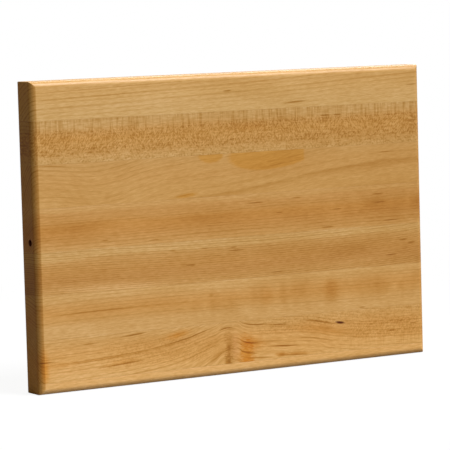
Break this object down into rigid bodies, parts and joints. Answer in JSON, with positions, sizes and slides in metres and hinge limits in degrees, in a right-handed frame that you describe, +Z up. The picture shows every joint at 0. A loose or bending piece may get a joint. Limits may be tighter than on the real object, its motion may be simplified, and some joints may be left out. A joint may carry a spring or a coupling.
{
  "type": "cutting board",
  "caption": "Rectangular edge-grain hardwood cutting board, glued up from full-length staves, with flat faces, rounded-over edges and a blind hole in the end grain.",
  "frame": {"origin": "middle of the long edge that the board stands on, halfway between the faces and between the ends", "axes": "+Z up, across the staves; +X along the staves, away from the end with the hole; +Y from the face in use to the back face"},
  "size_m": [0.4572, 0.0318, 0.3048],
  "materials": {
    "maple": "satin, oiled",
    "glue_film": "matte"
  },
  "bodies": {
    "root": {"bottom_strip": "maple", "stave_2": "maple", "stave_3": "maple", "stave_4": "maple", "stave_5": "maple", "stave_6": "maple", "stave_7": "maple", "top_stave": "maple", "glue_line_1": "glue_film", "glue_line_2": "glue_film", "glue_line_3": "glue_film", "glue_line_4": "glue_film", "glue_line_5": "glue_film", "glue_line_6": "glue_film", "glue_line_7": "glue_film"}
  },
  "joints": []
}
